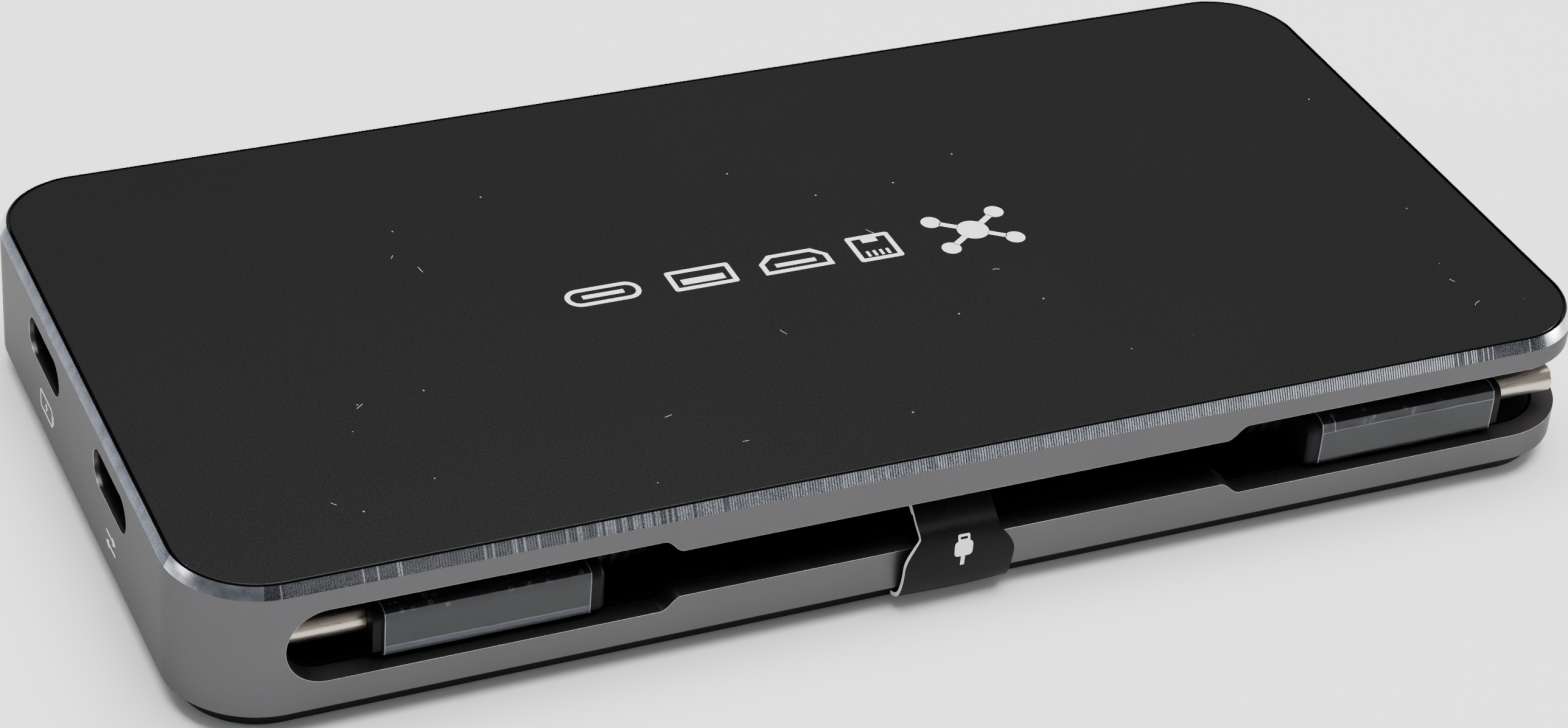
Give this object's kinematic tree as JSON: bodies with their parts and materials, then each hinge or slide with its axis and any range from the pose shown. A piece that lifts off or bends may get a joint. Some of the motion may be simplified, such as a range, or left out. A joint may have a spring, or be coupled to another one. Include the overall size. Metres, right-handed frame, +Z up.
{
  "type": "usb hub",
  "caption": "Slim aluminium USB-C hub with a black top panel, ports in one end and the back, and a short lead with two plugs stowed in a slot along the front.",
  "frame": {"origin": "on the table, under the middle of the housing, at the bottom of the feet", "axes": "+Z up; +X along the long side, with the two USB-C ports in the -X end; -Y faces the slot that holds the lead"},
  "size_m": [0.13, 0.0653, 0.015],
  "materials": {
    "anodised_aluminium": "bead-blasted and anodised space grey, with a bright cut chamfer",
    "black_panel": "fine matt grain",
    "base_plastic": "satin moulded",
    "tray_plastic": "satin moulded",
    "foot_rubber": "matt",
    "plug_plastic": "soft matt moulded",
    "plug_nickel": "satin nickel plating",
    "insert_plastic": "moulded",
    "cable_jacket": "matt",
    "clear_film": "clear, glossy",
    "tag_card": "satin coated, with a white core",
    "adhesive": "tacky sheet",
    "port_steel": "tin plated",
    "contact_gold": "gold flash",
    "screw_steel": "black zinc",
    "board_laminate": "solder mask",
    "chip_resin": "moulded resin",
    "ferrite": "matt",
    "can_aluminium": "bright",
    "thermal_silicone": "matt"
  },
  "bodies": {
    "hub": {"body_shell": "anodised_aluminium", "left_port_plate": "anodised_aluminium", "top_panel": "black_panel", "panel_adhesive": "adhesive", "bottom_cover": "base_plastic", "foot_front_left": "foot_rubber", "foot_front_right": "foot_rubber", "foot_back_left": "foot_rubber", "foot_back_right": "foot_rubber", "cover_screw_front_left": "screw_steel", "cover_screw_front_right": "screw_steel", "cover_screw_back_left": "screw_steel", "cover_screw_back_right": "screw_steel", "cable_tray": "tray_plastic", "main_board": "board_laminate", "board_screw_front_left": "screw_steel", "board_screw_front_right": "screw_steel", "board_screw_middle_left": "screw_steel", "board_screw_middle_right": "screw_steel", "hub_chip": "chip_resin", "video_chip": "chip_resin", "power_chip": "chip_resin", "network_chip": "chip_resin", "network_transformer": "chip_resin", "crystal": "can_aluminium", "power_inductor_left": "ferrite", "power_inductor_right": "ferrite", "capacitor_left": "can_aluminium", "capacitor_right": "can_aluminium", "thermal_pad": "thermal_silicone", "charge_port_shell": "port_steel", "charge_port_tongue": "insert_plastic", "data_port_shell": "port_steel", "data_port_tongue": "insert_plastic", "usb_a_left_shell": "port_steel", "usb_a_left_tongue": "insert_plastic", "usb_a_middle_shell": "port_steel", "usb_a_middle_tongue": "insert_plastic", "usb_a_right_shell": "port_steel", "usb_a_right_tongue": "insert_plastic", "video_port_shell": "port_steel", "video_port_tongue": "insert_plastic", "ethernet_jack": "insert_plastic", "ethernet_contacts": "contact_gold"},
    "lead": {"lead_cable": "cable_jacket", "lead_tag": "tag_card", "left_plug_body": "plug_plastic", "left_plug_shell": "plug_nickel", "left_plug_insert": "insert_plastic", "left_plug_film": "clear_film", "left_strain_relief": "cable_jacket", "right_plug_body": "plug_plastic", "right_plug_shell": "plug_nickel", "right_plug_insert": "insert_plastic", "right_plug_film": "clear_film", "right_strain_relief": "cable_jacket"}
  },
  "joints": [
    {"name": "lead_slide", "type": "slide", "parent": "hub", "child": "lead", "axis": [0, -1, 0], "range_m": [0, 0.03]}
  ]
}
